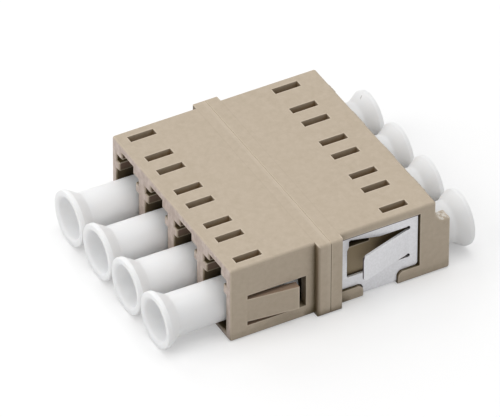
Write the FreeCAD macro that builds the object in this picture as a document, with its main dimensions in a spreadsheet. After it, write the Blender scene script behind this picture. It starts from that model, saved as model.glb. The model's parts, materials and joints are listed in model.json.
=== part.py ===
"""Four-port LC fibre adapter with a flange, two side latches, a folded spring clip and eight dust caps.

Frame, in millimetres: X runs across the four ports, Y along the optical axes, Z up.
Y = 0 is the welded seam in the middle of the flange, and Z = 0 is the flat underside.
The front half, with the moulded latches, points to -Y. The rear half, with the clip, points to +Y.
Ports are numbered 1 to 4 from -X to +X.
"""
import FreeCAD, Part
import os
import Sketcher
from FreeCAD import Placement, Rotation, Vector

# Driving dimensions in millimetres, each written once
SIZES = {
    # Port pattern
    "port_count": 4,
    "port_pitch": 6.25,
    # Walls of the housing round the ports
    "side_wall": 0.95,
    "floor_wall": 0.725,
    "roof_wall": 0.925,
    "edge_radius": 0.28,
    # Latch windows in the roof, and the catch shoulders at their far ends, measured from the seam
    "shoulder_distance": 9.94,
    "window_length": 3.0,
    "window_width": 0.91,
    "window_offset": 1.86,
    # Strips of roof beyond the shoulders, and the ledge that the rear half has beyond its roof
    "front_roof_strip": 1.23,
    "rear_roof_strip": 2.69,
    "rear_ledge": 1.72,
    "rear_step_radius": 1.1,
    # Flange halves, and how far they stand out of the body's sides
    "flange_depth": 1.43,
    "flange_side": 0.8,
    "flange_radius": 0.3,
    "seam_chamfer": 0.05,
    # Section of one port, from the floor up: plug channel, rails, ear channel, latch notch
    "plug_width": 4.75,
    "plug_height": 4.75,
    "rail_gap": 3.6,
    "rail_height": 1.05,
    "ear_height": 0.8,
    "notch_width": 2.5,
    "notch_height": 0.85,
    "mouth_chamfer": 0.14,
    # Closed stretch of roof between the latch channel and the seam
    "latch_channel_start": 3.0,
    # Web across the middle and the sleeve holders on it
    "web_depth": 1.45,
    "holder_diameter": 3.0,
    "holder_lip_length": 0.95,
    "holder_lip_diameter": 1.4,
    "holder_lead_in": 0.25,
    # Split alignment sleeves
    "sleeve_length": 6.8,
    "sleeve_diameter": 1.62,
    "sleeve_bore": 1.246,
    "sleeve_slit": 0.3,
    "sleeve_clearance": 0.03,
    "sleeve_end_gap": 0.05,
    # Locating pegs on the seam
    "peg_diameter": 1.1,
    "peg_length": 0.7,
    "peg_clearance": 0.04,
    "peg_height": 3.0,
    # Room for the panel between the flange and the ends of the latches, and of the clip's tabs
    "latch_panel_gap": 2.14,
    "tab_panel_gap": 1.9,
    # Moulded latch on each side of the front half
    "latch_root": 9.2,
    "latch_gap": 1.13,
    "latch_slot": 0.5,
    "latch_width": 2.85,
    "latch_top": 4.31,
    "latch_thickness": 0.7,
    "latch_flare": 0.67,
    "latch_toe": 0.9,
    # Pocket for the clip on each side of the rear half
    "clip_pocket_land": 0.15,
    "clip_pocket_length": 9.22,
    "clip_pocket_top": 0.87,
    "lug_height": 1.55,
    "lug_radius": 0.7,
    "strap_gap_start": 4.22,
    "strap_gap_length": 4.1,
    # Slot left by the mould's side core, through which each clip pocket opens into the outer port
    "core_slot_length": 3.6,
    "core_slot_height": 1.2,
    "core_slot_depth": 1.4,
    # Folded spring clip
    "clip_thickness": 0.25,
    "clip_recess": 0.25,
    "clip_back_gap": 0.14,
    "clip_edge_gap": 0.08,
    "clip_rear_gap": 0.15,
    "clip_bend_radius": 0.25,
    "clip_low_radius": 0.35,
    "clip_top_radius": 0.15,
    "strap_sink": 0.05,
    "tab_hinge_width": 1.13,
    "tab_top": 2.56,
    "tab_width": 3.19,
    "tab_flare": 1.88,
    "tab_corner_radius": 0.5,
    "tab_slot": 0.38,
    "relief_diameter": 0.48,
    "opening_front_strip": 0.76,
    "opening_top_strip": 0.42,
    "opening_jog": 0.2,
    "opening_jog_drop": 0.93,
    "opening_jog_height": 0.4,
    "opening_slot_length": 3.32,
    "opening_corner_radius": 0.2,
    # Dust caps
    "cap_length": 15.5,
    "cap_rim_gap": 0.12,
    "cap_rim_lip": 0.5,
    "cap_rim_width": 0.75,
    "cap_bell_length": 1.68,
    "cap_barrel_gap": 0.15,
    "cap_neck_radius": 0.5,
    "cap_mouth_depth": 2.6,
    "cap_hollow_diameter": 3.3,
    "cap_socket_depth": 2.6,
    "cap_end_wall": 0.8,
    "cap_clearance": 0.05,
    "cap_home_gap": 0.05,
    "front_cap_pull": 0.7,
    "rear_cap_pull": 0.15,
}

FRONT = -1
REAR = 1


class Size:
    """A number together with the sheet formula that gives it."""

    def __init__(self, value, formula):
        self.value = float(value)
        self.formula = formula

    def __add__(self, other):
        other = as_size(other)
        return Size(self.value + other.value, f"({self.formula} + {other.formula})")

    def __sub__(self, other):
        other = as_size(other)
        return Size(self.value - other.value, f"({self.formula} - {other.formula})")

    def __mul__(self, other):
        other = as_size(other)
        return Size(self.value * other.value, f"({self.formula} * {other.formula})")

    def __truediv__(self, number):
        return Size(self.value / number, f"({self.formula} / {number})")

    def __neg__(self):
        return Size(0 - self.value, f"(0 - {self.formula})")

    def at_most(self, limit):
        """The smaller of the two."""
        return Size(min(self.value, limit.value), f"min({self.formula}; {limit.formula})")


def as_size(thing):
    return thing if isinstance(thing, Size) else Size(thing, str(thing))


NOTHING = Size(0, "0")


class Sizes:
    """The sheet's aliases as attributes."""

    def __init__(self, table):
        for alias, value in table.items():
            setattr(self, alias, Size(value, f"sizes.{alias}"))


def make_sheet(doc):
    sheet = doc.addObject("Spreadsheet::Sheet", "sizes")
    for row, (alias, value) in enumerate(SIZES.items(), 1):
        sheet.set(f"A{row}", alias)
        sheet.set(f"B{row}", str(value))
        sheet.setAlias(f"B{row}", alias)
    doc.recompute()


def derived_sizes():
    """Adds the sizes that follow from the driving ones."""
    sizes = Sizes(SIZES)
    sizes.row_span = sizes.port_pitch * (sizes.port_count - 1)
    sizes.front_length = sizes.shoulder_distance + sizes.front_roof_strip
    sizes.rear_roof_length = sizes.shoulder_distance + sizes.rear_roof_strip
    sizes.rear_length = sizes.rear_roof_length + sizes.rear_ledge
    sizes.step_hollow = sizes.rear_step_radius.at_most(sizes.rear_ledge - sizes.edge_radius * 2)
    sizes.body_half = (sizes.row_span + sizes.plug_width) / 2 + sizes.side_wall
    sizes.flange_half = sizes.body_half + sizes.flange_side
    sizes.plug_floor = sizes.floor_wall
    sizes.port_axis = sizes.plug_floor + sizes.plug_height / 2
    sizes.plug_roof = sizes.plug_floor + sizes.plug_height
    sizes.rail_roof = sizes.plug_roof + sizes.rail_height
    sizes.ear_roof = sizes.rail_roof + sizes.ear_height
    sizes.notch_roof = sizes.ear_roof + sizes.notch_height
    sizes.top = sizes.notch_roof + sizes.roof_wall
    sizes.first_port = -sizes.row_span / 2
    sizes.peg_offset = (sizes.row_span - sizes.port_pitch) / 2
    sizes.holder_radius = sizes.holder_diameter / 2
    sizes.sleeve_seat_end = sizes.sleeve_length / 2 + sizes.sleeve_end_gap
    sizes.holder_reach = sizes.sleeve_seat_end + sizes.holder_lip_length
    sizes.clip_face = sizes.body_half - sizes.clip_recess
    sizes.clip_back = sizes.clip_face - sizes.clip_thickness
    sizes.clip_pocket_depth = sizes.clip_recess + sizes.clip_thickness + sizes.clip_back_gap
    sizes.strap_recess_depth = sizes.strap_sink + sizes.clip_thickness
    sizes.strap_gap_end = sizes.strap_gap_start + sizes.strap_gap_length
    sizes.clip_pocket_start = sizes.flange_depth + sizes.clip_pocket_land
    sizes.clip_pocket_end = sizes.clip_pocket_start + sizes.clip_pocket_length
    sizes.latch_end = sizes.flange_depth + sizes.latch_panel_gap
    sizes.tab_end = sizes.flange_depth + sizes.tab_panel_gap
    sizes.clip_front = sizes.clip_pocket_start + sizes.clip_edge_gap
    sizes.clip_rear = sizes.clip_pocket_end - sizes.clip_rear_gap
    sizes.clip_roof = sizes.top - sizes.clip_pocket_top - sizes.clip_edge_gap
    sizes.plate_low = sizes.lug_height + sizes.clip_edge_gap
    sizes.strap_start = sizes.strap_gap_start + sizes.clip_edge_gap
    sizes.strap_end = sizes.strap_gap_end - sizes.clip_edge_gap
    sizes.tab_high = sizes.top - sizes.tab_top
    sizes.tab_low = sizes.tab_high - sizes.tab_width
    sizes.tab_root = sizes.clip_rear - sizes.tab_hinge_width
    sizes.cap_home = sizes.holder_reach + sizes.cap_home_gap - sizes.cap_socket_depth
    return sizes


def origin_part(body, role):
    return next(feature for feature in body.Origin.OriginFeatures if feature.Role == role)


def add_sketch(body, name, role, offset=(0, 0, 0)):
    """Attaches a sketch to an origin plane of its own body, moved by an offset in the plane's own axes."""
    sketch = body.newObject("Sketcher::SketchObject", name)
    sketch.AttachmentSupport = [(origin_part(body, role), "")]
    sketch.MapMode = "FlatFace"
    moves = [as_size(length) for length in offset]
    sketch.AttachmentOffset = Placement(Vector(*[move.value for move in moves]), Rotation())
    for axis, move in zip("xyz", moves):
        if move.value != 0:
            sketch.setExpression(f"AttachmentOffset.Base.{axis}", move.formula)
    return sketch


def place_point(sketch, item, corner, point):
    """Ties a point of the sketch to its two formulas, measured from the sketch's origin."""
    for kind, axis, length in (("DistanceX", -2, point[0]), ("DistanceY", -1, point[1])):
        if length.value == 0:
            sketch.addConstraint(Sketcher.Constraint("PointOnObject", item, corner, axis))
            continue
        index = sketch.addConstraint(Sketcher.Constraint(kind, -1, 1, item, corner, length.value))
        sketch.setExpression(f"Constraints[{index}]", length.formula)


def draw_outline(sketch, points):
    """Draws a closed outline of straight lines through points given as pairs of sizes."""
    points = [(as_size(x), as_size(y)) for x, y in points]
    first = sketch.GeometryCount
    vectors = [Vector(x.value, y.value, 0) for x, y in points]
    for start, end in zip(vectors, vectors[1:] + vectors[:1]):
        sketch.addGeometry(Part.LineSegment(start, end), False)
    for number, point in enumerate(points):
        after = first + (number + 1) % len(points)
        sketch.addConstraint(Sketcher.Constraint("Coincident", first + number, 2, after, 1))
        place_point(sketch, first + number, 1, point)


def round_corner(sketch, line, radius):
    """Puts an arc between a line of an outline and the line after it, tangent to both."""
    middles = [(item.StartPoint + item.EndPoint) / 2 for item in sketch.Geometry[line:line + 2]]
    arc = sketch.GeometryCount
    sketch.fillet(line, line + 1, middles[0], middles[1], radius.value, True, True)
    index = sketch.addConstraint(Sketcher.Constraint("Radius", arc, radius.value))
    sketch.setExpression(f"Constraints[{index}]", radius.formula)


def draw_box(sketch, low_x, low_y, high_x, high_y):
    draw_outline(sketch, [(low_x, low_y), (high_x, low_y), (high_x, high_y), (low_x, high_y)])


def draw_circle(sketch, x, y, radius):
    x, y = as_size(x), as_size(y)
    circle = Part.Circle(Vector(x.value, y.value, 0), Vector(0, 0, 1), radius.value)
    item = sketch.addGeometry(circle, False)
    place_point(sketch, item, 3, (x, y))
    index = sketch.addConstraint(Sketcher.Constraint("Radius", item, radius.value))
    sketch.setExpression(f"Constraints[{index}]", radius.formula)


def extrude(body, kind, name, sketch, length, reversed_way=False):
    """Pads or pockets a sketch. A pad leaves along the sketch's normal, a pocket against it."""
    feature = body.newObject(f"PartDesign::{kind}", name)
    feature.Profile = sketch
    feature.Length = length.value
    feature.setExpression("Length", length.formula)
    feature.Reversed = reversed_way
    sketch.Visibility = False
    return feature


def turn(body, kind, name, sketch, axis_name):
    """Revolves or grooves a sketch through a full turn about one of its own axes."""
    feature = body.newObject(f"PartDesign::{kind}", name)
    feature.Profile = sketch
    feature.ReferenceAxis = (sketch, [axis_name])
    feature.Angle = 360
    return feature


def find_edges(feature, wanted):
    return [f"Edge{number}" for number, edge in enumerate(feature.Shape.Edges, 1) if wanted(edge)]


def dress(body, kind, name, base, wanted, size):
    """Fillets or chamfers the edges of the base feature for which wanted is true."""
    body.Document.recompute()
    feature = body.newObject(f"PartDesign::{kind}", name)
    feature.Base = (base, find_edges(base, wanted))
    size_name = "Radius" if kind == "Fillet" else "Size"
    setattr(feature, size_name, size.value)
    feature.setExpression(size_name, size.formula)
    body.Tip = feature
    return feature


def repeat_across(body, name, originals, sizes):
    """Repeats one port's features along the row."""
    pattern = body.newObject("PartDesign::LinearPattern", name)
    pattern.Originals = originals
    pattern.Direction = (origin_part(body, "X_Axis"), [""])
    pattern.Length = sizes.row_span.value
    pattern.setExpression("Length", sizes.row_span.formula)
    pattern.Occurrences = SIZES["port_count"]
    pattern.setExpression("Occurrences", sizes.port_count.formula)
    body.Tip = pattern
    return pattern


def mirror_across(body, name, originals):
    """Repeats the features of the +X side on the -X side."""
    mirror = body.newObject("PartDesign::Mirrored", name)
    mirror.Originals = originals
    mirror.MirrorPlane = (origin_part(body, "YZ_Plane"), [""])
    body.Tip = mirror
    return mirror


def near(value, target):
    return abs(value - target) < 1e-4


def between(value, low, high):
    return low - 1e-4 < value < high + 1e-4


def is_curve(edge, kind):
    """True when the edge has a curve of this kind. The point at a rounded corner has none."""
    return not edge.Degenerated and isinstance(edge.Curve, kind)


def is_straight_along(edge, axis):
    """True for a straight edge that runs along the X, Y or Z axis."""
    if not is_curve(edge, Part.Line):
        return False
    ends = [vertex.Point for vertex in edge.Vertexes]
    others = [name for name in "xyz" if name != axis]
    return all(near(getattr(ends[0], name), getattr(ends[1], name)) for name in others)


def lies_at(edge, axis, place):
    """True when every end of the edge has this coordinate."""
    return all(near(getattr(vertex.Point, axis), place) for vertex in edge.Vertexes)


def add_block(body, name, sizes, side, length):
    """The solid block of one housing half, with rounded outer edges away from the seam."""
    sketch = add_sketch(body, name + "_outline", "XZ_Plane")
    draw_box(sketch, -sizes.body_half, NOTHING, sizes.body_half, sizes.top)
    return extrude(body, "Pad", name, sketch, length, side == REAR)


def add_flange(body, sizes, side):
    """The half of the flange that this housing carries, wider than its block."""
    sketch = add_sketch(body, "flange_outline", "XZ_Plane")
    draw_box(sketch, -sizes.flange_half, NOTHING, sizes.flange_half, sizes.top)
    flange = extrude(body, "Pad", "flange", sketch, sizes.flange_depth, side == REAR)
    outer_face = side * sizes.flange_depth.value
    half = sizes.flange_half.value

    def is_outer_corner(edge):
        on_side = lies_at(edge, "x", half) or lies_at(edge, "x", -half)
        return on_side and (lies_at(edge, "y", outer_face) or is_straight_along(edge, "y"))

    rounded = dress(body, "Fillet", "flange_rounding", flange, is_outer_corner, sizes.flange_radius)

    def is_seam_edge(edge):
        return lies_at(edge, "y", 0) and not lies_at(edge, "z", 0)

    return dress(body, "Chamfer", "seam_edge", rounded, is_seam_edge, sizes.seam_chamfer)


def add_port_section(body, sizes, side, mouth):
    """Cuts the plug channel to the web, and the rails, ear channel and latch notch above it."""
    x = sizes.first_port
    plug = add_sketch(body, "plug_channel_outline", "XZ_Plane", (0, 0, -mouth * side))
    draw_box(plug, x - sizes.plug_width / 2, sizes.plug_floor, x + sizes.plug_width / 2, sizes.plug_roof)
    channel = extrude(body, "Pocket", "plug_channel", plug, mouth - sizes.web_depth, side == REAR)
    key = add_sketch(body, "latch_channel_outline", "XZ_Plane", (0, 0, -mouth * side))
    rail, ear, notch = sizes.rail_gap / 2, sizes.plug_width / 2, sizes.notch_width / 2
    left = [(x - rail, sizes.plug_roof), (x - rail, sizes.rail_roof), (x - ear, sizes.rail_roof),
            (x - ear, sizes.ear_roof), (x - notch, sizes.ear_roof), (x - notch, sizes.notch_roof)]
    right = [(x + notch, sizes.notch_roof), (x + notch, sizes.ear_roof), (x + ear, sizes.ear_roof),
             (x + ear, sizes.rail_roof), (x + rail, sizes.rail_roof), (x + rail, sizes.plug_roof)]
    draw_outline(key, left + right)
    depth = mouth - sizes.latch_channel_start
    latch_channel = extrude(body, "Pocket", "latch_channel", key, depth, side == REAR)
    return [channel, latch_channel]


def add_latch_windows(body, sizes, side):
    """Cuts the two windows over one port, in which the ears of a plug's latch catch."""
    sketch = add_sketch(body, "window_outline", "XY_Plane", (0, 0, sizes.top))
    far = sizes.shoulder_distance * side
    close = (sizes.shoulder_distance - sizes.window_length) * side
    low, high = (far, close) if side == FRONT else (close, far)
    for offset in (-sizes.window_offset, sizes.window_offset):
        centre = sizes.first_port + offset
        draw_box(sketch, centre - sizes.window_width / 2, low, centre + sizes.window_width / 2, high)
    depth = sizes.roof_wall + sizes.notch_height + sizes.ear_height / 2
    return extrude(body, "Pocket", "latch_windows", sketch, depth)


def add_sleeve_holder(body, sizes, side):
    """Adds the barrel that holds half of the sleeve, with its stepped bore."""
    start = sizes.web_depth - sizes.floor_wall / 2
    base = add_sketch(body, "holder_outline", "XZ_Plane", (0, 0, -start * side))
    draw_circle(base, sizes.first_port, sizes.port_axis, sizes.holder_radius)
    holder = extrude(body, "Pad", "holder", base, sizes.holder_reach - start, side == REAR)
    bore = add_sketch(body, "holder_bore_outline", "YZ_Plane", (0, sizes.port_axis, sizes.first_port))
    seat = sizes.sleeve_diameter / 2 + sizes.sleeve_clearance
    lip = sizes.holder_lip_diameter / 2
    mouth = lip + sizes.holder_lead_in
    step, reach = sizes.sleeve_seat_end, sizes.holder_reach
    profile = [(NOTHING, NOTHING), (NOTHING, seat), (step, seat), (step, lip), (reach, mouth), (reach, NOTHING)]
    draw_outline(bore, [(along * side, radius) for along, radius in profile])
    return [holder, turn(body, "Groove", "holder_bore", bore, "H_Axis")]


def add_ports(body, sizes, side, mouth):
    """All that repeats from port to port in one housing half."""
    section = add_port_section(body, sizes, side, mouth)
    windows = add_latch_windows(body, sizes, side)
    holder = add_sleeve_holder(body, sizes, side)
    row = repeat_across(body, "port_row", section + [windows] + holder, sizes)
    face = mouth.value * side
    ledge = (sizes.rail_roof - sizes.edge_radius).value

    def is_mouth_edge(edge):
        in_port = all(is_in_port(vertex.Point, sizes) for vertex in edge.Vertexes)
        return in_port and lies_at(edge, "y", face) and not lies_at(edge, "z", ledge)

    return dress(body, "Chamfer", "port_mouths", row, is_mouth_edge, sizes.mouth_chamfer)


def is_in_port(point, sizes):
    """True for a point inside the housing's outer skin."""
    walls = (sizes.row_span + sizes.plug_width).value / 2
    high = sizes.notch_roof.value
    return between(point.x, -walls, walls) and between(point.z, sizes.plug_floor.value, high)


def add_side_latches(body, sizes):
    """Cuts a U-shaped slot in each side wall and leaves a tongue that flares outwards to its free end."""
    high = sizes.top - sizes.latch_top
    low = high - sizes.latch_width
    root, end = -sizes.latch_root, -sizes.latch_end
    opening = add_sketch(body, "latch_opening_outline", "YZ_Plane", (0, 0, sizes.body_half))
    draw_box(opening, root, low - sizes.latch_slot, end + sizes.latch_gap, high + sizes.latch_slot)
    cut = extrude(body, "Pocket", "latch_opening", opening, sizes.side_wall)
    tongue = add_sketch(body, "latch_tongue_outline", "XY_Plane", (0, 0, low))
    toe = sizes.body_half + sizes.latch_flare
    draw_outline(tongue, [(sizes.body_half, root), (toe, end), (toe - sizes.latch_toe, end),
                          (sizes.body_half - sizes.latch_thickness, root)])
    pad = extrude(body, "Pad", "latch_tongue", tongue, sizes.latch_width)
    return mirror_across(body, "latches", [cut, pad])


def add_pegs(body, sizes):
    """Two pegs that stand out of the front half's seam face and enter the rear half."""
    sketch = add_sketch(body, "peg_outline", "XZ_Plane")
    for x in (-sizes.peg_offset, sizes.peg_offset):
        draw_circle(sketch, x, sizes.peg_height, sizes.peg_diameter / 2)
    return extrude(body, "Pad", "pegs", sketch, sizes.peg_length, True)


def add_peg_holes(body, sizes):
    sketch = add_sketch(body, "peg_hole_outline", "XZ_Plane")
    for x in (-sizes.peg_offset, sizes.peg_offset):
        draw_circle(sketch, x, sizes.peg_height, sizes.peg_diameter / 2 + sizes.peg_clearance)
    return extrude(body, "Pocket", "peg_holes", sketch, sizes.peg_length + sizes.peg_clearance)


def make_front_housing(doc, sizes):
    body = doc.addObject("PartDesign::Body", "front_housing")
    block = add_block(body, "block", sizes, FRONT, sizes.front_length)
    dress(body, "Fillet", "block_rounding", block, lambda edge: not lies_at(edge, "y", 0), sizes.edge_radius)
    add_flange(body, sizes, FRONT)
    add_ports(body, sizes, FRONT, sizes.front_length)
    add_side_latches(body, sizes)
    add_pegs(body, sizes)


def add_rear_step(body, sizes):
    """Takes the roof off the last stretch of the rear half, down to the top of the rails."""
    sketch = add_sketch(body, "rear_step_outline", "YZ_Plane", (0, 0, sizes.body_half))
    draw_box(sketch, sizes.rear_roof_length, sizes.rail_roof, sizes.rear_length, sizes.top)
    step = extrude(body, "Pocket", "rear_step", sketch, sizes.body_half * 2)
    roof_end = sizes.rear_roof_length.value
    ledge = sizes.rail_roof.value

    def is_step_corner(edge):
        return is_straight_along(edge, "x") and lies_at(edge, "y", roof_end) and lies_at(edge, "z", ledge)

    return dress(body, "Fillet", "rear_step_hollow", step, is_step_corner, sizes.step_hollow)


def add_clip_pockets(body, sizes):
    """Cuts the recess for a clip plate in each side, open to the bottom between two lugs, and the slot in it."""
    sketch = add_sketch(body, "clip_pocket_outline", "YZ_Plane", (0, 0, sizes.body_half))
    front, rear = sizes.clip_pocket_start, sizes.clip_pocket_end
    roof, lug = sizes.top - sizes.clip_pocket_top, sizes.lug_height
    draw_outline(sketch, [(front, roof), (front, lug), (sizes.strap_gap_start, lug),
                          (sizes.strap_gap_start, NOTHING), (sizes.strap_gap_end, NOTHING),
                          (sizes.strap_gap_end, lug), (rear, lug), (rear, roof)])
    pocket = extrude(body, "Pocket", "clip_pocket", sketch, sizes.clip_pocket_depth)
    core = add_sketch(body, "core_slot_outline", "YZ_Plane", (0, 0, sizes.body_half))
    core_end, core_top = front + sizes.core_slot_length, sizes.rail_roof + sizes.core_slot_height
    draw_box(core, front, sizes.rail_roof, core_end, core_top)
    slot = extrude(body, "Pocket", "core_slot", core, sizes.core_slot_depth)
    pockets = mirror_across(body, "clip_pockets", [pocket, slot])
    lug_height = lug.value
    corners = (sizes.strap_gap_start.value, sizes.strap_gap_end.value)

    def is_lug_corner(edge):
        at_gap = any(lies_at(edge, "y", corner) for corner in corners)
        return is_straight_along(edge, "x") and lies_at(edge, "z", lug_height) and at_gap

    return dress(body, "Fillet", "lug_corners", pockets, is_lug_corner, sizes.lug_radius)


def add_strap_recess(body, sizes):
    """Cuts the groove across the floor in which the clip's strap lies."""
    sketch = add_sketch(body, "strap_recess_outline", "YZ_Plane", (0, 0, sizes.body_half))
    draw_box(sketch, sizes.strap_gap_start, NOTHING, sizes.strap_gap_end, sizes.strap_recess_depth)
    return extrude(body, "Pocket", "strap_recess", sketch, sizes.body_half * 2)


def make_rear_housing(doc, sizes):
    body = doc.addObject("PartDesign::Body", "rear_housing")
    add_block(body, "block", sizes, REAR, sizes.rear_length)
    step = add_rear_step(body, sizes)

    def is_outer_edge(edge):
        return not lies_at(edge, "y", 0) and not is_hollow(edge, sizes)

    dress(body, "Fillet", "block_rounding", step, is_outer_edge, sizes.edge_radius)
    add_flange(body, sizes, REAR)
    add_ports(body, sizes, REAR, sizes.rear_length)
    add_clip_pockets(body, sizes)
    add_strap_recess(body, sizes)
    add_peg_holes(body, sizes)


def is_hollow(edge, sizes):
    """True for the two lines where the hollow of the rear step begins and ends."""
    start = lies_at(edge, "y", sizes.rear_roof_length.value) and not lies_at(edge, "z", sizes.top.value)
    end = lies_at(edge, "z", sizes.rail_roof.value) and not lies_at(edge, "y", sizes.rear_length.value)
    return is_straight_along(edge, "x") and (start or end)


def add_clip_strap(body, sizes):
    """The U-shaped strip: under the floor and a short way up both sides."""
    sketch = add_sketch(body, "strap_outline", "XZ_Plane", (0, 0, -sizes.strap_start))
    face, back = sizes.clip_face, sizes.clip_back
    low = sizes.strap_sink
    inside = low + sizes.clip_thickness
    high = sizes.plate_low + sizes.lug_radius
    draw_outline(sketch, [(-face, high), (-face, low), (face, low), (face, high),
                          (back, high), (back, inside), (-back, inside), (-back, high)])
    strap = extrude(body, "Pad", "strap", sketch, sizes.strap_end - sizes.strap_start, True)

    def is_inner_bend(edge):
        return is_straight_along(edge, "y") and lies_at(edge, "z", inside.value)

    def is_outer_bend(edge):
        return is_straight_along(edge, "y") and lies_at(edge, "z", low.value)

    inner = dress(body, "Fillet", "inner_bends", strap, is_inner_bend, sizes.clip_bend_radius)
    outer_radius = sizes.clip_bend_radius + sizes.clip_thickness
    return dress(body, "Fillet", "outer_bends", inner, is_outer_bend, outer_radius)


def add_clip_plate(body, sizes):
    """One side plate with its tapered opening."""
    sketch = add_sketch(body, "plate_outline", "YZ_Plane", (0, 0, sizes.clip_back))
    draw_box(sketch, sizes.clip_front, sizes.plate_low, sizes.clip_rear, sizes.clip_roof)
    plate = extrude(body, "Pad", "plate", sketch, sizes.clip_thickness)
    opening = add_sketch(body, "plate_opening_outline", "YZ_Plane", (0, 0, sizes.clip_face))
    low, high = sizes.tab_low - sizes.tab_slot, sizes.tab_high + sizes.tab_slot
    start = sizes.clip_front + sizes.opening_front_strip
    step = start + sizes.opening_jog
    roof = sizes.clip_roof - sizes.opening_top_strip
    jog = roof - sizes.opening_jog_drop
    draw_outline(opening, [(sizes.tab_root, low), (sizes.tab_root, high),
                           (sizes.tab_root - sizes.opening_slot_length, high), (step, roof),
                           (step, jog), (start, jog - sizes.opening_jog_height), (start, low)])
    roof_line, front_line = 2, 5
    round_corner(opening, roof_line, sizes.opening_corner_radius)
    round_corner(opening, front_line, sizes.opening_corner_radius)
    cut = extrude(body, "Pocket", "plate_opening", opening, sizes.clip_thickness)
    return [plate, cut]


def add_clip_tab(body, sizes):
    """The spring tab: hinged at the plate's rear and flared outwards to its free end."""
    sketch = add_sketch(body, "tab_outline", "XY_Plane", (0, 0, sizes.tab_low))
    face, back = sizes.clip_face, sizes.clip_back
    root, end = sizes.tab_root, sizes.tab_end
    draw_outline(sketch, [(back, root), (face, root), (face + sizes.tab_flare, end),
                          (back + sizes.tab_flare, end)])
    return extrude(body, "Pad", "tab", sketch, sizes.tab_width)


def add_relief_holes(body, sizes):
    """Two round holes that end the slots beside the root of the tab."""
    sketch = add_sketch(body, "relief_outline", "YZ_Plane", (0, 0, sizes.body_half))
    for height in (sizes.tab_low - sizes.tab_slot / 2, sizes.tab_high + sizes.tab_slot / 2):
        draw_circle(sketch, sizes.tab_root, height, sizes.relief_diameter / 2)
    return extrude(body, "Pocket", "relief_holes", sketch, sizes.body_half - sizes.clip_back)


def round_clip(body, sizes, base):
    """Rounds the corners of the tabs and plates, and the inner corners where the strap leaves a plate."""

    def is_tab_corner(edge):
        return is_thin(edge, sizes) and lies_at(edge, "y", sizes.tab_end.value)

    def is_strap_corner(edge):
        at_side = lies_at(edge, "y", sizes.strap_start.value) or lies_at(edge, "y", sizes.strap_end.value)
        return is_thin(edge, sizes) and lies_at(edge, "z", sizes.plate_low.value) and at_side

    def is_plate_end(edge):
        return lies_at(edge, "y", sizes.clip_front.value) or lies_at(edge, "y", sizes.clip_rear.value)

    def is_low_corner(edge):
        return is_thin(edge, sizes) and is_plate_end(edge) and lies_at(edge, "z", sizes.plate_low.value)

    def is_top_corner(edge):
        return is_thin(edge, sizes) and is_plate_end(edge) and lies_at(edge, "z", sizes.clip_roof.value)

    tabs = dress(body, "Fillet", "tab_corners", base, is_tab_corner, sizes.tab_corner_radius)
    strap_radius = sizes.lug_radius - sizes.clip_edge_gap
    strap = dress(body, "Fillet", "strap_corners", tabs, is_strap_corner, strap_radius)
    low = dress(body, "Fillet", "plate_low_corners", strap, is_low_corner, sizes.clip_low_radius)
    return dress(body, "Fillet", "plate_top_corners", low, is_top_corner, sizes.clip_top_radius)


def is_thin(edge, sizes):
    """True for an edge that runs through the sheet's thickness."""
    return is_straight_along(edge, "x") and near(edge.Length, sizes.clip_thickness.value)


def make_mounting_clip(doc, sizes):
    body = doc.addObject("PartDesign::Body", "mounting_clip")
    add_clip_strap(body, sizes)
    side = add_clip_plate(body, sizes)
    side += [add_clip_tab(body, sizes), add_relief_holes(body, sizes)]
    sides = mirror_across(body, "both_sides", side)
    round_clip(body, sizes, sides)


def make_sleeve(doc, sizes, number):
    """A split ceramic tube that lines up two ferrules end to end."""
    body = doc.addObject("PartDesign::Body", f"alignment_sleeve_{number}")
    sketch = add_sketch(body, "wall_outline", "XY_Plane")
    half, inner, outer = sizes.sleeve_length / 2, sizes.sleeve_bore / 2, sizes.sleeve_diameter / 2
    draw_box(sketch, inner, -half, outer, half)
    turn(body, "Revolution", "wall", sketch, "V_Axis")
    slit = add_sketch(body, "slit_outline", "XY_Plane", (0, 0, outer))
    draw_box(slit, -sizes.sleeve_slit / 2, -half, sizes.sleeve_slit / 2, half)
    extrude(body, "Pocket", "slit", slit, outer)
    place_in_port(body, sizes, number, NOTHING, FRONT)


def make_cap(doc, sizes, side, number):
    """A moulded cap: a socket that slides on the sleeve holder, an end wall and a bell-mouthed grip."""
    name = "front" if side == FRONT else "rear"
    body = doc.addObject("PartDesign::Body", f"{name}_dust_cap_{number}")
    rim = (sizes.port_pitch - sizes.cap_rim_gap) / 2
    length = sizes.cap_length
    barrel = sizes.plug_width.at_most(sizes.plug_height) / 2 - sizes.cap_barrel_gap
    hollow = sizes.cap_hollow_diameter / 2
    socket = sizes.holder_radius + sizes.cap_clearance
    wall_end = sizes.cap_socket_depth + sizes.cap_end_wall
    bore = [(socket, NOTHING), (socket, sizes.cap_socket_depth), (NOTHING, sizes.cap_socket_depth)]
    mouth = [(NOTHING, wall_end), (hollow, wall_end), (hollow, length - sizes.cap_mouth_depth),
             (rim - sizes.cap_rim_width, length)]
    outside = [(rim, length), (rim, length - sizes.cap_rim_lip),
               (barrel, length - sizes.cap_bell_length), (barrel, NOTHING)]
    sketch = add_sketch(body, "cap_section", "XY_Plane")
    draw_outline(sketch, [(radius, -along) for radius, along in bore + mouth + outside])
    bell_line = len(bore + mouth) + 1
    round_corner(sketch, bell_line, sizes.cap_neck_radius)
    turn(body, "Revolution", "shell", sketch, "V_Axis")
    pull = sizes.front_cap_pull if side == FRONT else sizes.rear_cap_pull
    place_in_port(body, sizes, number, (sizes.cap_home + pull) * side, side)


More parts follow.
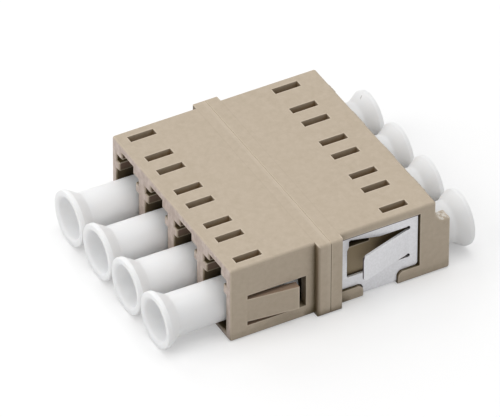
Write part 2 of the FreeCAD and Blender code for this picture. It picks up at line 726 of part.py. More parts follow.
def place_in_port(body, sizes, number, along, side):
    """Puts a turned piece on the axis of a port, facing the front or the rear."""
    x = sizes.first_port + sizes.port_pitch * (number - 1)
    turned = Rotation(Vector(0, 0, 1), 0 if side == FRONT else 180)
    body.Placement = Placement(Vector(x.value, along.value, sizes.port_axis.value), turned)
    body.setExpression("Placement.Base.x", x.formula)
    body.setExpression("Placement.Base.y", along.formula)
    body.setExpression("Placement.Base.z", sizes.port_axis.formula)


def check_document(doc):
    """Stops if any object failed, any cut removed nothing or any body is not one valid solid."""
    for item in doc.Objects:
        if "Invalid" in item.State or "Error" in item.State:
            raise RuntimeError(f"{item.Name} failed: {item.State}")
        if item.TypeId in ("PartDesign::Pocket", "PartDesign::Groove"):
            if item.Shape.Volume >= item.BaseFeature.Shape.Volume - 1e-6:
                raise RuntimeError(f"{item.Name} cuts nothing")
    for body in find_bodies(doc):
        shape = body.Shape
        if shape.isNull() or not shape.isValid() or len(shape.Solids) != 1:
            raise RuntimeError(f"{body.Label} is not one valid solid")


def find_bodies(doc):
    return [item for item in doc.Objects if item.TypeId == "PartDesign::Body"]


def main():
    doc = FreeCAD.newDocument("fibre_adapter")
    make_sheet(doc)
    sizes = derived_sizes()
    make_front_housing(doc, sizes)
    make_rear_housing(doc, sizes)
    make_mounting_clip(doc, sizes)
    ports = range(1, SIZES["port_count"] + 1)
    for number in ports:
        make_sleeve(doc, sizes, number)
    for side in (FRONT, REAR):
        for number in ports:
            make_cap(doc, sizes, side, number)
    doc.recompute()
    check_document(doc)
    os.makedirs("parts", exist_ok=True)
    for body in find_bodies(doc):
        body.Shape.exportStep(f"parts/{body.Label}.step")
        print(f"{body.Label}: {body.Shape.Volume:.3f} mm3")


main()
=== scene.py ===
"""Looks of the four-port LC fibre adapter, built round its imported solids. Lengths are in metres."""

import json
import math

import bmesh
import bpy
from mathutils import Matrix, Quaternion, Vector

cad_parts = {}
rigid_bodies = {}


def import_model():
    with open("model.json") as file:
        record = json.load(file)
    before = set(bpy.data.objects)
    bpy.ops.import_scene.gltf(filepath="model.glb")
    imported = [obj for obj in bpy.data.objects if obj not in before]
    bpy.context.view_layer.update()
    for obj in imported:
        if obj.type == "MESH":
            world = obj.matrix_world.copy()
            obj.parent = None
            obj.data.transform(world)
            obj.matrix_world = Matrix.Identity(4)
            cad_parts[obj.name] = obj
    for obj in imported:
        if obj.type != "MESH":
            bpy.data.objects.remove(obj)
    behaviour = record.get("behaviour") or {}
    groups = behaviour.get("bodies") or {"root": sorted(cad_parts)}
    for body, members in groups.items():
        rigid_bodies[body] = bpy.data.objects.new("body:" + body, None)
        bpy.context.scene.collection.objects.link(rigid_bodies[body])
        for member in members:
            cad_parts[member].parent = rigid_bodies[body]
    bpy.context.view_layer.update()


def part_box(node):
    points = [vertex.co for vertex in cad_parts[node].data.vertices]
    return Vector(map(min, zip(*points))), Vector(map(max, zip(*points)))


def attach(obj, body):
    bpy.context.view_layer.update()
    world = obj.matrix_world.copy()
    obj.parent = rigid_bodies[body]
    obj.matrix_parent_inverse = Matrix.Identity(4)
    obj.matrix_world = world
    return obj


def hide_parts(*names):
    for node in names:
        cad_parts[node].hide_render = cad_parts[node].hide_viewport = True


MM = 0.001
PORTS = (1, 2, 3, 4)

# Camera, fitted to the corners of the body in the photograph
VIEW_AZIMUTH = math.radians(61.22)
VIEW_ELEVATION = math.radians(38.41)
VIEW_ROLL = math.radians(0.17)
VIEW_DISTANCE = 810.0 * MM
VIEW_TARGET = Vector((4.62, -4.50, 9.1)) * MM
LENS_MM = 576.0
SENSOR_MM = 36.0
CLIP_START = 10.0 * MM
CLIP_END = 10.0

# Light from all round, and soft boxes that look at the origin: name, place and power
WORLD_STRENGTH = 0.465
SOFT_BOX_SIZE = 0.45
SOFT_BOXES = (
    ("top_box", (0.02, 0.05, 0.58), 1.19),
    ("front_box", (-0.10, -0.50, 0.35), 1.15),
    ("far_box", (-0.50, 0.00, 0.35), 0.70),
)

# Floor: its half side, how far it lies below the part, and the white that it adds to the light
# that it reflects
FLOOR_REACH = 3.0
FLOOR_DROP = 0.02 * MM
FLOOR_GLOW = 0.33

# Edge rounding of the moulded and the stamped pieces
HOUSING_EDGE = 0.09 * MM
CLIP_EDGE = 0.03 * MM
EDGE_SEGMENTS = 2
EDGE_ANGLE = math.radians(35.0)
WELD_DISTANCE = 0.0005 * MM
FLAT_ANGLE = math.radians(1.0)

# Dust cap: radii, lengths along its axis, and the radii that round its corners
CAP_LENGTH = 15.5 * MM
CAP_RIM = 3.065 * MM
CAP_MOUTH = 2.31 * MM
CAP_NECK = 2.28 * MM
CAP_TIP = 2.12 * MM
CAP_HOLLOW = 1.65 * MM
CAP_SOCKET = 1.55 * MM
CAP_SOCKET_DEPTH = 2.6 * MM
CAP_SOCKET_CHAMFER = 0.15 * MM
CAP_TIP_CHAMFER = 0.2 * MM
CAP_END_WALL = 0.8 * MM
CAP_RIM_LIP = 0.5 * MM
CAP_THROAT_SETBACK = 2.6 * MM
CAP_NECK_SETBACK = 1.75 * MM
CAP_END_WALL_ROUND = 0.3 * MM
CAP_THROAT_ROUND = 2.5 * MM
CAP_MOUTH_ROUND = 0.4 * MM
CAP_RIM_ROUND = 0.12 * MM
CAP_NECK_ROUND = 0.6 * MM
CAP_ROUND_STEPS = 8
CAP_SEGMENTS = 96
CAP_SHARP_ANGLE = math.radians(40.0)
ON_AXIS = 1e-9

# Colours of the housing
SKIN_PALE = (0.514, 0.423, 0.315, 1.0)
SKIN_DEEP = (0.469, 0.388, 0.289, 1.0)
SKIN_SPECKLE = (0.542, 0.453, 0.349, 1.0)
TORN_DEEP = (0.47, 0.375, 0.322, 1.0)
TORN_PALE = (0.60, 0.505, 0.445, 1.0)
# Painted shade inside the ports, under the roof and behind the mouths
HOLLOW_SHADE = (0.185, 0.115, 0.078, 1.0)
FLASH = (0.84, 0.80, 0.74, 1.0)
FLANGE_LINE = (0.30, 0.23, 0.16, 1.0)
# Painted highlight on a narrow strip in front of the seam
SEAM_HIGHLIGHT = (0.74, 0.65, 0.53, 1.0)
# Painted light that lifts the shade in the seam's groove on the roof
SEAM_GROOVE_LIGHT = (0.565, 0.47, 0.355, 1.0)
# Painted shade in the pocket behind the clip
CLIP_POCKET_SHADE = (0.375, 0.292, 0.180, 1.0)
# Painted shade on faces that look to the front, such as the flange's
FRONT_FACING_SHADE = (0.235, 0.178, 0.122, 1.0)
# Painted highlight on convex edges
EDGE_HIGHLIGHT = (0.62, 0.53, 0.415, 1.0)
GROOVE_SHADE = (0.104, 0.073, 0.030, 1.0)
# Painted shade deep in the ports, at their mouths and in the windows of the roof
PORT_DEPTH_SHADE = (0.013, 0.008, 0.006, 1.0)
PORT_MOUTH_SHADE = (0.092, 0.060, 0.024, 1.0)
WINDOW_SHADE = (0.300, 0.160, 0.040, 1.0)
# Painted shade on the walls of the latch slits
LATCH_SLIT_SHADE = (0.36, 0.25, 0.175, 1.0)

# Colours of the caps, the clip, the sleeves and the floor
CAP_PALE = (0.972, 0.972, 0.972, 1.0)
CAP_DEEP = (0.952, 0.952, 0.954, 1.0)
CAP_SPECK = (0.66, 0.64, 0.63, 1.0)
STEEL_PALE = (0.80, 0.80, 0.82, 1.0)
STEEL_DEEP = (0.785, 0.785, 0.805, 1.0)
STEEL_SPECKLE = (0.87, 0.87, 0.90, 1.0)
# Darker cut edges of the steel, partly painted shade, and the painted shadow under the roof
SHEARED_EDGE_AND_SHADOW = (0.13, 0.11, 0.13, 1.0)
CERAMIC_PALE = (0.90, 0.89, 0.86, 1.0)
CERAMIC_DEEP = (0.84, 0.83, 0.80, 1.0)
FLOOR_GREY = (0.70, 0.70, 0.70, 1.0)
WHITE = (1.0, 1.0, 1.0, 1.0)

# Strength of the faint lines where the flange meets the roof, and of the painted highlight strip by
# the seam
LINE_DEPTH = 0.12
STRIP_SHARE = 0.12

# How far the mouth faces and the foot of the sides keep their own colour where they would be
# taken for grooves
MOUTH_FACE_KEPT = 0.7
FOOT_KEPT = 0.8

# Noises: cells to the metre, detail and roughness
FLOW_NOISE = (160.0, 4.0, 0.55)
SPECKLE_NOISE = (1500.0, 3.0, 0.65)
TEAR_NOISE = (2300.0, 4.0, 0.7)
SCRAP_NOISE = (2800.0, 5.0, 0.8)
GRAIN_NOISE = (5200.0, 2.0, 0.55)
CAP_CLOUD_NOISE = (300.0, 3.0, 0.55)
CAP_SPECK_NOISE = (1300.0, 1.0, 0.55)
CAP_RELIEF_NOISE = (1800.0, 2.0, 0.55)
STEEL_GRAIN_NOISE = (9000.0, 3.0, 0.55)
STEEL_STAIN_NOISE = (500.0, 4.0, 0.55)
STEEL_SPECKLE_NOISE = (4200.0, 3.0, 0.6)
CERAMIC_NOISE = (4000.0, 2.0, 0.55)

# Stretch of the tears across the mouth faces, and of the steel's grain along the strip
TEAR_STRETCH = (1.0, 1.0, 0.5)
STEEL_STRETCH = (1.0, 0.06, 1.0)

# Levels of a noise at which a share is 0 and 1
SPECKLE_LEVELS = (0.30, 0.70)
TEAR_LEVELS = (0.40, 0.64)
SCRAP_LEVELS = (0.46, 0.57)
CAP_SPECK_LEVELS = (0.803, 0.823)
STEEL_SPECKLE_LEVELS = (0.36, 0.66)

# Open sky round a point: how far the look round reaches, and the shares of open sky at which the
# result is 0 and 1
# These shares place the painted highlights on edges, the painted shade in grooves and the painted
# shade in recesses
EDGE_SKY = (0.22 * MM, 0.62, 0.92)
GROOVE_SKY = (1.4 * MM, 0.50, 0.90)
RECESS_SKY = (2.5 * MM, 0.05, 0.40)
SKY_SAMPLES = 8

# Roughness, as the range that a noise runs over
HOUSING_ROUGHNESS = (0.46, 0.62)
CAP_ROUGHNESS = (0.40, 0.50)
STEEL_ROUGHNESS = (0.30, 0.40)
CERAMIC_ROUGHNESS = (0.12, 0.22)
FLOOR_ROUGHNESS = 0.9

# Height and strength of the fine relief
SPECKLE_RELIEF = (0.010 * MM, 0.5)
GRAIN_RELIEF = (0.006 * MM, 0.5)
CAP_RELIEF = (0.004 * MM, 0.5)
STEEL_RELIEF = (0.001 * MM, 0.2)

# Places on the housing and the clip. Each limit is a measure of the point, and the values of it in
# millimetres at which the share is 0 and 1. far_x and far_y are distances from the middle planes.
HOLLOW_LIMITS = (("far_x", 12.35, 11.85), ("y", -11.12, -10.95), ("y", 12.62, 12.50),
                 ("z", 0.70, 0.85), ("z", 8.25, 8.10))
MOUTH_FACE_LIMITS = (("y", -11.10, -11.14),)
REAR_LEDGE_LIMITS = (("y", 12.62, 12.66), ("z", 3.00, 3.20))
FLANGE_LINE_LIMITS = (("far_y", 1.36, 1.40), ("far_y", 1.50, 1.46), ("z", 9.05, 9.09))
SEAM_STRIP_LIMITS = (("y", -0.44, -0.40), ("y", 0.02, -0.02))
SEAM_TOP_LIMITS = (("far_y", 0.12, 0.08), ("z", 8.95, 9.02))
SEAM_GROOVE_LIMITS = (("z", 9.095, 9.08),)
CLIP_POCKET_LIMITS = (("far_x", 11.45, 11.50), ("far_x", 12.45, 12.40), ("y", 1.50, 1.60),
                      ("y", 10.95, 10.85), ("z", 0.30, 0.40), ("z", 8.30, 8.20))
BEHIND_MOUTH_LIMITS = (("y", -11.0, -10.9),)
ROOF_LIMITS = (("z", 8.15, 8.25), ("far_x", 12.60, 12.50))
FOOT_LIMITS = (("z", 1.60, 0.60), ("far_y", 2.20, 2.80), ("far_x", 12.55, 12.65))
LATCH_SLIT_LIMITS = (("far_x", 11.80, 12.00), ("y", -9.50, -9.40), ("y", -3.50, -3.60),
                     ("z", 0.50, 0.60), ("z", 5.20, 5.10))
BELOW_ROOF_LIMITS = (("z", 8.25, 8.05),)
OUTWARD_LIMITS = (("y", -9.4, -11.0), ("y", 10.9, 12.5), ("far_x", 11.7, 12.2))
CLIP_SIDE_LIMITS = (("z", 1.2, 1.3),)
CLIP_TOP_LIMITS = (("z", 7.90, 7.94),)

# How far a face looks along an axis of the object where a share is 0 and where it is 1
FACING_UP = (0.50, 0.70)
FACING_FRONT = (-0.02, -0.85)
FACING_AWAY_FROM_SIDE = (0.50, 0.30)
FACING_DOWN_OR_FRONT = (-0.55, -0.75)


def node_of(material, kind, **values):
    """Adds a shader node and sets its named inputs."""
    node = material.node_tree.nodes.new(kind)
    set_inputs(node, **values)
    return node


def set_inputs(node, **values):
    for name, value in values.items():
        node.inputs[name.replace("_", " ")].default_value = value


def link(material, source, target):
    material.node_tree.links.new(source, target)


def feed(material, value, socket):
    """Gives an input its value, which is a socket, a number or a colour."""
    if isinstance(value, bpy.types.NodeSocket):
        link(material, value, socket)
    else:
        socket.default_value = value


def new_material(name):
    """A material with its Principled shader ready for use."""
    material = bpy.data.materials.new(name)
    material.use_nodes = True
    return material, material.node_tree.nodes["Principled BSDF"]


def object_coordinates(material):
    return node_of(material, "ShaderNodeTexCoord").outputs["Object"]


def split_axes(material, vector):
    """The three components of a vector, by axis."""
    split = node_of(material, "ShaderNodeSeparateXYZ")
    link(material, vector, split.inputs[0])
    return {axis.lower(): split.outputs[axis] for axis in "XYZ"}


def find_facing(material):
    """How far a face looks along each axis of the object."""
    return split_axes(material, node_of(material, "ShaderNodeTexCoord").outputs["Normal"])


def measure_place(material, where):
    """The coordinates of a point, and its distances from the middle planes."""
    place = split_axes(material, where)
    place["far_x"] = add_maths(material, "ABSOLUTE", place["x"], 0.0)
    place["far_y"] = add_maths(material, "ABSOLUTE", place["y"], 0.0)
    return place


def add_noise(material, coordinates, noise):
    scale, detail, roughness = noise
    kind = "ShaderNodeTexNoise"
    texture = node_of(material, kind, Scale=scale, Detail=detail, Roughness=roughness)
    link(material, coordinates, texture.inputs["Vector"])
    return texture.outputs["Fac"]


def add_range(material, value, low, high):
    """Maps a 0 to 1 value onto a range."""
    ramp = node_of(material, "ShaderNodeMapRange", To_Min=low, To_Max=high)
    link(material, value, ramp.inputs["Value"])
    return ramp.outputs["Result"]


def add_steps(material, value, start, end):
    """Turns a value into a 0 to 1 share that rises from start to end."""
    ramp = node_of(material, "ShaderNodeMapRange", From_Min=start, From_Max=end)
    link(material, value, ramp.inputs["Value"])
    return ramp.outputs["Result"]


def add_mix(material, share, first, second):
    """Mixes two colours by a share, which is 0 for the first and 1 for the second."""
    mix = node_of(material, "ShaderNodeMix")
    mix.data_type = "RGBA"
    colour_a, colour_b = (socket for socket in mix.inputs if socket.type == "RGBA")
    feed(material, share, mix.inputs[0])
    feed(material, first, colour_a)
    feed(material, second, colour_b)
    return next(socket for socket in mix.outputs if socket.type == "RGBA")


def add_maths(material, kind, first, second):
    """Works out one number from two, each a number or a socket."""
    maths = node_of(material, "ShaderNodeMath")
    maths.operation = kind
    feed(material, first, maths.inputs[0])
    feed(material, second, maths.inputs[1])
    return maths.outputs[0]


def add_stretch(material, coordinates, scale):
    stretch = node_of(material, "ShaderNodeMapping", Scale=scale)
    link(material, coordinates, stretch.inputs["Vector"])
    return stretch.outputs["Vector"]


def add_bump(material, shader, height, relief, after=None):
    distance, strength = relief
    bump = node_of(material, "ShaderNodeBump", Strength=strength, Distance=distance)
    link(material, height, bump.inputs["Height"])
    if after is not None:
        link(material, after, bump.inputs["Normal"])
    link(material, bump.outputs["Normal"], shader.inputs["Normal"])
    return bump.outputs["Normal"]


def add_shelter(material, sky, inside=False):
    """Share of open sky round a point. Measured inside the solid, it tells edges from faces."""
    distance, start, end = sky
    shelter = node_of(material, "ShaderNodeAmbientOcclusion", Distance=distance)
    shelter.inside = inside
    shelter.samples = SKY_SAMPLES
    return add_steps(material, shelter.outputs["AO"], start, end)


def limit_shares(material, place, limits):
    """One share for each limit, 0 on its outer side and 1 on its inner side."""
    return [
        add_steps(material, place[measure], outer * MM, inner * MM)
        for measure, outer, inner in limits
    ]


def combine(material, kind, shares):
    """Joins shares into one: MULTIPLY keeps what all have in common, MAXIMUM keeps each of them."""
    whole = shares[0]
    for share in shares[1:]:
        whole = add_maths(material, kind, whole, share)
    return whole


def find_place(material, place, limits):
    """Share that is 1 where a point keeps all the limits and 0 where it breaks one."""
    return combine(material, "MULTIPLY", limit_shares(material, place, limits))


def find_flash(material, where, place):
    """Share of whitish torn flash left on the top of the rear side walls, behind the roof."""
    up = add_steps(material, find_facing(material)["z"], *FACING_UP)
    ledge = find_place(material, place, REAR_LEDGE_LIMITS)
    scraps = add_steps(material, add_noise(material, where, SCRAP_NOISE), *SCRAP_LEVELS)
    return combine(material, "MULTIPLY", (up, ledge, scraps))


def find_latch_slit(material, place):
    """Share of painted shade that is 1 on the walls of the slits above and below each moulded latch.
    """
    sideways = add_maths(material, "ABSOLUTE", find_facing(material)["x"], 0.0)
    wall = add_steps(material, sideways, *FACING_AWAY_FROM_SIDE)
    return combine(material, "MULTIPLY", (wall, find_place(material, place, LATCH_SLIT_LIMITS)))


def find_front_facing_shade(material, place):
    """Share of painted shade that rises to 1 on faces behind the mouths that look to the front."""
    front = add_steps(material, find_facing(material)["y"], *FACING_FRONT)
    return combine(material, "MULTIPLY", (front, find_place(material, place, BEHIND_MOUTH_LIMITS)))


def make_housing_skin_and_shade(material, where, place):
    """Own colour, mottled skin, torn mouths, flash and lines, with a painted highlight by the seam
    and painted shade in the hollows, the clip's pocket and on front-facing faces such as the
    flange's.
    """
    flow = add_noise(material, where, FLOW_NOISE)
    speckle = add_steps(material, add_noise(material, where, SPECKLE_NOISE), *SPECKLE_LEVELS)
    skin = add_mix(material, flow, SKIN_PALE, SKIN_DEEP)
    skin = add_mix(material, speckle, skin, SKIN_SPECKLE)
    tears = add_noise(material, add_stretch(material, where, TEAR_STRETCH), TEAR_NOISE)
    torn = add_mix(material, add_steps(material, tears, *TEAR_LEVELS), TORN_DEEP, TORN_PALE)
    skin = add_mix(material, find_place(material, place, MOUTH_FACE_LIMITS), skin, torn)
    # Painted shade inside the ports
    skin = add_mix(material, find_place(material, place, HOLLOW_LIMITS), skin, HOLLOW_SHADE)
    skin = add_mix(material, find_flash(material, where, place), skin, FLASH)
    line = find_place(material, place, FLANGE_LINE_LIMITS)
    skin = add_mix(material, add_maths(material, "MULTIPLY", line, LINE_DEPTH), skin, FLANGE_LINE)
    # Painted highlight on the strip in front of the seam
    seam_highlight = find_place(material, place, SEAM_STRIP_LIMITS)
    skin = add_mix(material, add_maths(material, "MULTIPLY", seam_highlight, STRIP_SHARE), skin, SEAM_HIGHLIGHT)
    # Painted shade in the clip's pocket
    skin = add_mix(material, find_place(material, place, CLIP_POCKET_LIMITS), skin, CLIP_POCKET_SHADE)
    # Painted shade on front-facing faces behind the mouths
    return add_mix(material, find_front_facing_shade(material, place), skin, FRONT_FACING_SHADE)


def shade_grooves(material, place, seam_top, colour):
    """Painted highlights on convex edges and painted shade in grooves, but not on the roof, mouth
    faces, seam and foot; painted light lifts the seam's groove on the roof.
    """
    # Painted highlight on convex edges
    edge = add_shelter(material, EDGE_SKY, inside=True)
    colour = add_mix(material, edge, EDGE_HIGHLIGHT, colour)
    mouth_face = find_place(material, place, MOUTH_FACE_LIMITS)
    foot = find_place(material, place, FOOT_LIMITS)
    groove = combine(material, "MAXIMUM", (
        add_shelter(material, GROOVE_SKY),
        find_place(material, place, ROOF_LIMITS),
        add_maths(material, "MULTIPLY", mouth_face, MOUTH_FACE_KEPT),
        seam_top,
        add_maths(material, "MULTIPLY", foot, FOOT_KEPT),
    ))
    colour = add_mix(material, groove, GROOVE_SHADE, colour)
    # Painted light in the seam's groove on the roof
    below_skin = find_place(material, place, SEAM_GROOVE_LIMITS)
    seam_light = add_maths(material, "MULTIPLY", seam_top, below_skin)
    return add_mix(material, seam_light, colour, SEAM_GROOVE_LIGHT)


def shade_recesses(material, place, seam_top, colour):
    """Painted shade in the recesses: dark ports with lighter mouths, warm windows in the roof, and
    slits round the latches.
    """
    outward = combine(material, "MAXIMUM", limit_shares(material, place, OUTWARD_LIMITS))
    port_shade = add_mix(material, outward, PORT_DEPTH_SHADE, PORT_MOUTH_SHADE)
    recess_shade = add_mix(material, find_place(material, place, BELOW_ROOF_LIMITS), WINDOW_SHADE, port_shade)
    recess = add_maths(material, "MAXIMUM", add_shelter(material, RECESS_SKY), seam_top)
    colour = add_mix(material, recess, recess_shade, colour)
    # Painted shade in the latch slits
    return add_mix(material, find_latch_slit(material, place), colour, LATCH_SLIT_SHADE)


def make_housing_material():
    """Beige moulded plastic with a fine grain, with painted shade and painted highlights in its
    colour.
    """
    material, shader = new_material("beige_plastic")
    where = object_coordinates(material)
    place = measure_place(material, where)
    seam_top = find_place(material, place, SEAM_TOP_LIMITS)
    colour = make_housing_skin_and_shade(material, where, place)
    colour = shade_grooves(material, place, seam_top, colour)
    colour = shade_recesses(material, place, seam_top, colour)
    link(material, colour, shader.inputs["Base Color"])
    grain = add_noise(material, where, GRAIN_NOISE)
    link(material, add_range(material, grain, *HOUSING_ROUGHNESS), shader.inputs["Roughness"])
    set_inputs(shader, Specular_IOR_Level=0.5)
    relief = add_bump(material, shader, add_noise(material, where, SPECKLE_NOISE), SPECKLE_RELIEF)
    add_bump(material, shader, grain, GRAIN_RELIEF, relief)
    return material


def make_cap_material():
    """White polyethylene that lets a little light in, with a few faint specks."""
    material, shader = new_material("white_polyethylene")
    where = object_coordinates(material)
    cloud = add_noise(material, where, CAP_CLOUD_NOISE)
    speck = add_steps(material, add_noise(material, where, CAP_SPECK_NOISE), *CAP_SPECK_LEVELS)
    colour = add_mix(material, speck, add_mix(material, cloud, CAP_PALE, CAP_DEEP), CAP_SPECK)
    link(material, colour, shader.inputs["Base Color"])
    link(material, add_range(material, cloud, *CAP_ROUGHNESS), shader.inputs["Roughness"])
    set_inputs(shader, Subsurface_Weight=0.5, Subsurface_Scale=1.3 * MM,
               Subsurface_Radius=(1.0, 0.95, 0.9), Specular_IOR_Level=0.5)
    add_bump(material, shader, add_noise(material, where, CAP_RELIEF_NOISE), CAP_RELIEF)
    return material


def find_sheared_edge(material, place):
    """Share that is 1 on the cut edges that look down or forwards, and 0 on the rolled faces."""
    facing = find_facing(material)
    low = add_maths(material, "MINIMUM", facing["y"], facing["z"])
    cut = add_steps(material, low, *FACING_DOWN_OR_FRONT)
    return combine(material, "MULTIPLY", (cut, find_place(material, place, CLIP_SIDE_LIMITS)))


def make_clip_material():
    """Rolled spring steel with a fine grain, darker at its cut edges, partly painted shade, and with
    a painted shadow in a band under the roof.
    """
    material, shader = new_material("spring_steel")
    where = object_coordinates(material)
    place = split_axes(material, where)
    grain = add_noise(material, add_stretch(material, where, STEEL_STRETCH), STEEL_GRAIN_NOISE)
    stain = add_noise(material, where, STEEL_STAIN_NOISE)
    speckle = add_noise(material, where, STEEL_SPECKLE_NOISE)
    colour = add_mix(material, stain, STEEL_PALE, STEEL_DEEP)
    speckled = add_steps(material, speckle, *STEEL_SPECKLE_LEVELS)
    colour = add_mix(material, speckled, colour, STEEL_SPECKLE)
    # Painted shadow in a band under the roof, and darker cut edges, partly painted shade
    roof_shadow = find_place(material, place, CLIP_TOP_LIMITS)
    sheared_and_shadow = combine(material, "MAXIMUM", (find_sheared_edge(material, place), roof_shadow))
    link(material, add_mix(material, sheared_and_shadow, colour, SHEARED_EDGE_AND_SHADOW), shader.inputs["Base Color"])
    link(material, add_range(material, grain, *STEEL_ROUGHNESS), shader.inputs["Roughness"])
    set_inputs(shader, Metallic=0.45)
    add_bump(material, shader, grain, STEEL_RELIEF)
    return material


def make_sleeve_material():
    """Ground zirconia ceramic."""
    material, shader = new_material("zirconia")
    ground = add_noise(material, object_coordinates(material), CERAMIC_NOISE)
    colour = add_mix(material, ground, CERAMIC_PALE, CERAMIC_DEEP)
    link(material, colour, shader.inputs["Base Color"])
    link(material, add_range(material, ground, *CERAMIC_ROUGHNESS), shader.inputs["Roughness"])
    return material


def make_floor_material():
    """White to the eye and in reflections, and a softer grey for the light that bounces off it."""
    material, shader = new_material("pale_floor")
    set_inputs(shader, Base_Color=FLOOR_GREY, Roughness=FLOOR_ROUGHNESS, Specular_IOR_Level=0.0)
    path = node_of(material, "ShaderNodeLightPath")
    kinds = ("Is Camera Ray", "Is Glossy Ray", "Is Transmission Ray")
    seen = combine(material, "MAXIMUM", [path.outputs[kind] for kind in kinds])
    glow = node_of(material, "ShaderNodeEmission", Color=WHITE)
    link(material, add_range(material, seen, 0.0, FLOOR_GLOW), glow.inputs["Strength"])
    both = node_of(material, "ShaderNodeAddShader")
    link(material, shader.outputs[0], both.inputs[0])
    link(material, glow.outputs[0], both.inputs[1])
    link(material, both.outputs[0], material.node_tree.nodes["Material Output"].inputs["Surface"])
    return material


def dress_node(node, material, edge=None):
    """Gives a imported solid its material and, where asked, softly rounded edges."""
    node.data.materials.clear()
    node.data.materials.append(material)
    if edge is None:
        return
    weld = node.modifiers.new("weld", "WELD")
    weld.merge_threshold = WELD_DISTANCE
    flat = node.modifiers.new("flatten", "DECIMATE")
    flat.decimate_type = "DISSOLVE"
    flat.angle_limit = FLAT_ANGLE
    bevel = node.modifiers.new("soft_edges", "BEVEL")
    bevel.width = edge
    bevel.segments = EDGE_SEGMENTS
    bevel.limit_method = "ANGLE"
    bevel.angle_limit = EDGE_ANGLE
    bevel.use_clamp_overlap = True
    bevel.harden_normals = True


def blend_points(before, corner, after, radius):
    """Points of the arc that rounds a corner between two straight runs of the profile."""
    corner = Vector(corner)
    to_before = (Vector(before) - corner).normalized()
    to_after = (Vector(after) - corner).normalized()
    half = to_before.angle(to_after) / 2
    reach = radius / math.tan(half)
    start, end = corner + to_before * reach, corner + to_after * reach
    centre = corner + (to_before + to_after).normalized() * (radius / math.sin(half))
    first, last = start - centre, end - centre
    turn = first.angle_signed(last)
    points = []
    for step in range(CAP_ROUND_STEPS + 1):
        spun = Matrix.Rotation(-turn * step / CAP_ROUND_STEPS, 2) @ first
        points.append(tuple(centre + spun))
    return points


def cap_profile():
    """Half section of the cap as radius and distance from its tip, from the socket to the tip."""
    end = CAP_LENGTH
    wall = CAP_SOCKET_DEPTH + CAP_END_WALL
    throat, neck, lip = end - CAP_THROAT_SETBACK, end - CAP_NECK_SETBACK, end - CAP_RIM_LIP
    corners = [
        ((CAP_SOCKET + CAP_SOCKET_CHAMFER, 0.0), None),
        ((CAP_SOCKET, CAP_SOCKET_CHAMFER), None),
        ((CAP_SOCKET, CAP_SOCKET_DEPTH), None),
        ((0.0, CAP_SOCKET_DEPTH), None),
        ((0.0, wall), None),
        ((CAP_HOLLOW, wall), CAP_END_WALL_ROUND),
        ((CAP_HOLLOW, throat), CAP_THROAT_ROUND),
        ((CAP_MOUTH, end), CAP_MOUTH_ROUND),
        ((CAP_RIM, end), CAP_RIM_ROUND),
        ((CAP_RIM, lip), CAP_RIM_ROUND),
        ((CAP_NECK, neck), CAP_NECK_ROUND),
        ((CAP_TIP, CAP_TIP_CHAMFER), None),
        ((CAP_TIP - CAP_TIP_CHAMFER, 0.0), None),
    ]
    points = []
    for index, (corner, radius) in enumerate(corners):
        if radius is None:
            points.append(corner)
        else:
            before, after = corners[index - 1][0], corners[index + 1][0]
            points += blend_points(before, corner, after, radius)
    return points


def join_rings(shape, first, second):
    """Faces between two neighbouring rings, either of which may be a single point."""
    count = max(len(first), len(second))
    if count == 1:
        return
    for step in range(count):
        after = (step + 1) % count
        if len(first) == 1:
            shape.faces.new((first[0], second[step], second[after]))
        elif len(second) == 1:
            shape.faces.new((first[step], first[after], second[0]))
        else:
            shape.faces.new((first[step], first[after], second[after], second[step]))


def turn_cap_mesh(name, centre, along):
    """The cap's mesh, turned from its profile about the line along Y through its tip's centre."""
    x, tip, z = centre
    shape = bmesh.new()
    rings = []
    for radius, distance in cap_profile():
        y = tip + along * distance
        if radius < ON_AXIS:
            rings.append([shape.verts.new((x, y, z))])
            continue
        ring = []
        for step in range(CAP_SEGMENTS):
            angle = 2 * math.pi * step / CAP_SEGMENTS
            across, up = radius * math.cos(angle), radius * math.sin(angle)
            ring.append(shape.verts.new((x + across, y, z + up)))
        rings.append(ring)
    for first, second in zip(rings, rings[1:] + rings[:1]):
        join_rings(shape, first, second)
    bmesh.ops.recalc_face_normals(shape, faces=shape.faces)
    mesh = bpy.data.meshes.new(name)
    shape.to_mesh(mesh)
    shape.free()
    mesh.shade_smooth()
    mesh.set_sharp_from_angle(angle=CAP_SHARP_ANGLE)
    return mesh


def make_cap(name, side, number, material):
    """A lathe-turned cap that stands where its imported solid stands."""
    low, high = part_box(name)
    tip = high.y if side == "front" else low.y
    along = -1.0 if side == "front" else 1.0
    centre = ((low.x + high.x) / 2, tip, (low.z + high.z) / 2)
    mesh = turn_cap_mesh(name + "_shell", centre, along)
    mesh.materials.append(material)
    cap = bpy.data.objects.new(name + "_shell", mesh)
    bpy.context.scene.collection.objects.link(cap)
    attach(cap, f"{side}_cap_{number}")
    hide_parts(name)


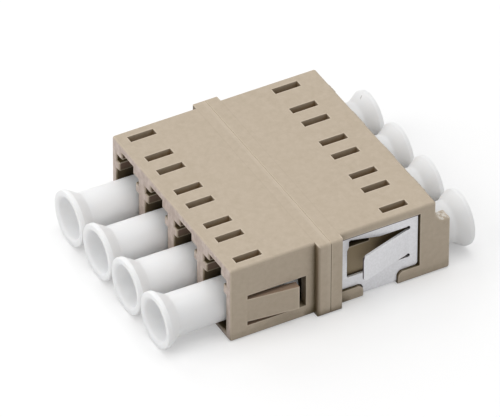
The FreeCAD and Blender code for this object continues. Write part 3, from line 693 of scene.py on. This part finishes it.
def make_camera():
    """A long lens that sees the part as the photograph does."""
    level = math.cos(VIEW_ELEVATION)
    sine, cosine = math.sin(VIEW_AZIMUTH), math.cos(VIEW_AZIMUTH)
    back = Vector((sine * level, -cosine * level, math.sin(VIEW_ELEVATION)))
    right = Vector((cosine, sine, 0.0))
    up = back.cross(right)
    turn = Matrix((right, up, back)).transposed()
    data = bpy.data.cameras.new("camera")
    data.lens = LENS_MM
    data.sensor_width = SENSOR_MM
    data.clip_start = CLIP_START
    data.clip_end = CLIP_END
    camera = bpy.data.objects.new("camera", data)
    camera.location = VIEW_TARGET + back * VIEW_DISTANCE
    camera.rotation_mode = "QUATERNION"
    camera.rotation_quaternion = turn.to_quaternion() @ Quaternion((0, 0, 1), VIEW_ROLL)
    bpy.context.scene.collection.objects.link(camera)
    bpy.context.scene.camera = camera


def make_floor():
    """A pale floor that keeps the soft shadow of the object."""
    mesh = bpy.data.meshes.new("floor")
    reach = FLOOR_REACH
    corners = [(-reach, -reach, 0), (reach, -reach, 0), (reach, reach, 0), (-reach, reach, 0)]
    mesh.from_pydata(corners, [], [(0, 1, 2, 3)])
    floor = bpy.data.objects.new("floor", mesh)
    floor.location.z = -FLOOR_DROP
    bpy.context.scene.collection.objects.link(floor)
    mesh.materials.append(make_floor_material())


def add_soft_box(name, location, power):
    """A square soft box that looks at the origin."""
    data = bpy.data.lights.new(name, "AREA")
    data.shape = "SQUARE"
    data.size = SOFT_BOX_SIZE
    data.energy = power
    lamp = bpy.data.objects.new(name, data)
    lamp.location = location
    lamp.rotation_mode = "QUATERNION"
    lamp.rotation_quaternion = (-Vector(location)).to_track_quat("-Z", "Y")
    bpy.context.scene.collection.objects.link(lamp)


def make_light():
    """A bright tent, with soft boxes overhead, before the latch half and beyond the far side."""
    world = bpy.data.worlds.new("tent")
    world.use_nodes = True
    bpy.context.scene.world = world
    set_inputs(world.node_tree.nodes["Background"], Color=WHITE, Strength=WORLD_STRENGTH)
    for name, location, power in SOFT_BOXES:
        add_soft_box(name, location, power)


def main():
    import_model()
    view = bpy.context.scene.view_settings
    view.view_transform = "Standard"
    nodes = {item.name: item for item in bpy.context.scene.objects}
    housing = make_housing_material()
    dress_node(nodes["front_housing"], housing, HOUSING_EDGE)
    dress_node(nodes["rear_housing"], housing, HOUSING_EDGE)
    dress_node(nodes["mounting_clip"], make_clip_material(), CLIP_EDGE)
    ceramic = make_sleeve_material()
    cap = make_cap_material()
    for number in PORTS:
        dress_node(nodes[f"alignment_sleeve_{number}"], ceramic)
        for side in ("front", "rear"):
            make_cap(f"{side}_dust_cap_{number}", side, number, cap)
    make_camera()
    make_floor()
    make_light()


main()
